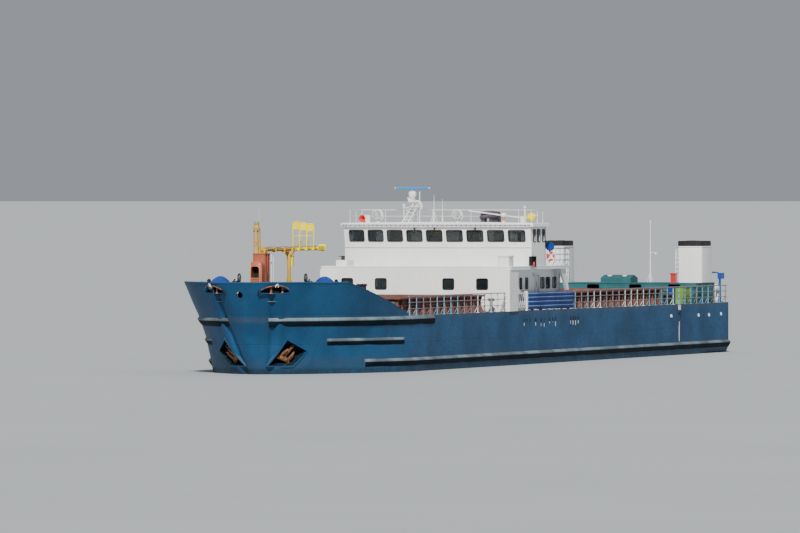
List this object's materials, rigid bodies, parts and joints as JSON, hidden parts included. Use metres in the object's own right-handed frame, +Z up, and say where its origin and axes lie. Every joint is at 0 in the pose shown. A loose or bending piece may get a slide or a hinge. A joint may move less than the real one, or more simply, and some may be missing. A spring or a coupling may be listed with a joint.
{
  "type": "river barge, motor dry-cargo, scale model 1:10",
  "caption": "Self-propelled open-hold river barge with flared bow, full-width wheelhouse amidships and funnels aft.",
  "frame": {"origin": "on the waterline, amidships, on the centreline", "axes": "+X forward to the bow, +Y to port, +Z up"},
  "size_m": [8.275, 1.206, 1.253],
  "materials": {
    "hull_paint": "worn steel-blue hull paint, matt, with rust and streaks",
    "hold_rust": "worn red-brown paint with rust, matt",
    "house_white": "white enamel, slightly streaked",
    "window_glass": "dark tinted glass",
    "panel_blue": "deep blue paint, semi-gloss",
    "rail_paint": "pale blue and white rail paint",
    "scanner_paint": "blue and white enamel",
    "vent_red": "red-brown paint",
    "ochre_paint": "ochre paint, chalky",
    "lemon_paint": "lemon yellow paint",
    "horn_red": "red enamel",
    "casing_green": "dull green paint",
    "anchor_rust": "rusted cast steel",
    "screw_bronze": "dull bronze"
  },
  "bodies": {
    "hull": {"anchor_port": "anchor_rust", "anchor_starboard": "anchor_rust", "boat_deck": "house_white", "bow_bulwark": "hull_paint", "bridge_back": "house_white", "bridge_front": "house_white", "bridge_glass": "window_glass", "bridge_roof": "house_white", "bridge_side_port": "house_white", "bridge_side_starboard": "house_white", "coaming_aft": "hold_rust", "coaming_fore": "hold_rust", "engine_casing": "casing_green", "fore_tower": "ochre_paint", "funnel_port": "house_white", "funnel_starboard": "house_white", "hold_floor_aft": "hold_rust", "hold_floor_fore": "hold_rust", "horn": "horn_red", "house_back": "house_white", "house_front": "house_white", "house_side_port": "house_white", "house_side_starboard": "house_white", "hull_bottom": "hull_paint", "hull_bow": "hull_paint", "hull_midship": "hull_paint", "hull_stern": "hull_paint", "lifebuoy_post": "horn_red", "locker_green": "casing_green", "locker_teal": "casing_green", "mast_crutch": "ochre_paint", "radar_mast": "house_white", "rail_aft_port": "rail_paint", "rail_aft_starboard": "rail_paint", "rail_fore_port": "rail_paint", "rail_fore_starboard": "rail_paint", "rail_stern": "rail_paint", "roof_rail": "house_white", "searchlight_port": "house_white", "searchlight_starboard": "house_white", "side_panel_port": "panel_blue", "side_panel_starboard": "panel_blue", "stern_mast": "house_white", "vent_house": "vent_red", "windlass_port": "panel_blue", "windlass_starboard": "panel_blue", "wing_tank_port": "hull_paint", "wing_tank_starboard": "hull_paint"},
    "bridge_door_body": {"bridge_door": "house_white"},
    "fore_mast_body": {"fore_mast": "lemon_paint"},
    "house_door_port_body": {"house_door_port": "house_white"},
    "house_door_starboard_body": {"house_door_starboard": "house_white"},
    "propeller_port_body": {"propeller_port": "screw_bronze"},
    "propeller_starboard_body": {"propeller_starboard": "screw_bronze"},
    "radar_scanner_body": {"radar_scanner": "scanner_paint"},
    "roof_mast_body": {"roof_mast": "house_white"},
    "rudder_port_body": {"rudder_port": "hull_paint"},
    "rudder_starboard_body": {"rudder_starboard": "hull_paint"}
  },
  "joints": [
    {"name": "propeller_port_spin", "type": "hinge", "parent": "hull", "child": "propeller_port_body", "pos_m": [-3.65, 0.29, -0.115], "axis": [1, 0, 0], "continuous": true},
    {"name": "propeller_starboard_spin", "type": "hinge", "parent": "hull", "child": "propeller_starboard_body", "pos_m": [-3.65, -0.29, -0.115], "axis": [1, 0, 0], "continuous": true},
    {"name": "rudder_port_turn", "type": "hinge", "parent": "hull", "child": "rudder_port_body", "pos_m": [-3.8, 0.29, -0.115], "axis": [0, 0, 1], "range_deg": [-35, 35]},
    {"name": "rudder_starboard_turn", "type": "hinge", "parent": "hull", "child": "rudder_starboard_body", "pos_m": [-3.8, -0.29, -0.115], "axis": [0, 0, 1], "range_deg": [-35, 35]},
    {"name": "radar_scan", "type": "hinge", "parent": "hull", "child": "radar_scanner_body", "pos_m": [0.23, -0.195, 1.045], "axis": [0, 0, 1], "continuous": true},
    {"name": "roof_mast_raise", "type": "hinge", "parent": "hull", "child": "roof_mast_body", "pos_m": [0.19, 0.485, 0.872], "axis": [-1, 0, 0], "range_deg": [0, 80]},
    {"name": "fore_mast_raise", "type": "hinge", "parent": "hull", "child": "fore_mast_body", "pos_m": [3.672, 0, 0.7], "axis": [0, 1, 0], "range_deg": [0, 88]},
    {"name": "bridge_door_swing", "type": "hinge", "parent": "hull", "child": "bridge_door_body", "pos_m": [0.049, 0.4897, 0.7], "axis": [0, 0, -1], "range_deg": [0, 95]},
    {"name": "house_door_port_swing", "type": "hinge", "parent": "hull", "child": "house_door_port_body", "pos_m": [0.0697, 0.516, 0.435], "axis": [0, 0, 1], "range_deg": [0, 95]},
    {"name": "house_door_starboard_swing", "type": "hinge", "parent": "hull", "child": "house_door_starboard_body", "pos_m": [0.0697, -0.516, 0.435], "axis": [0, 0, -1], "range_deg": [0, 95]}
  ]
}
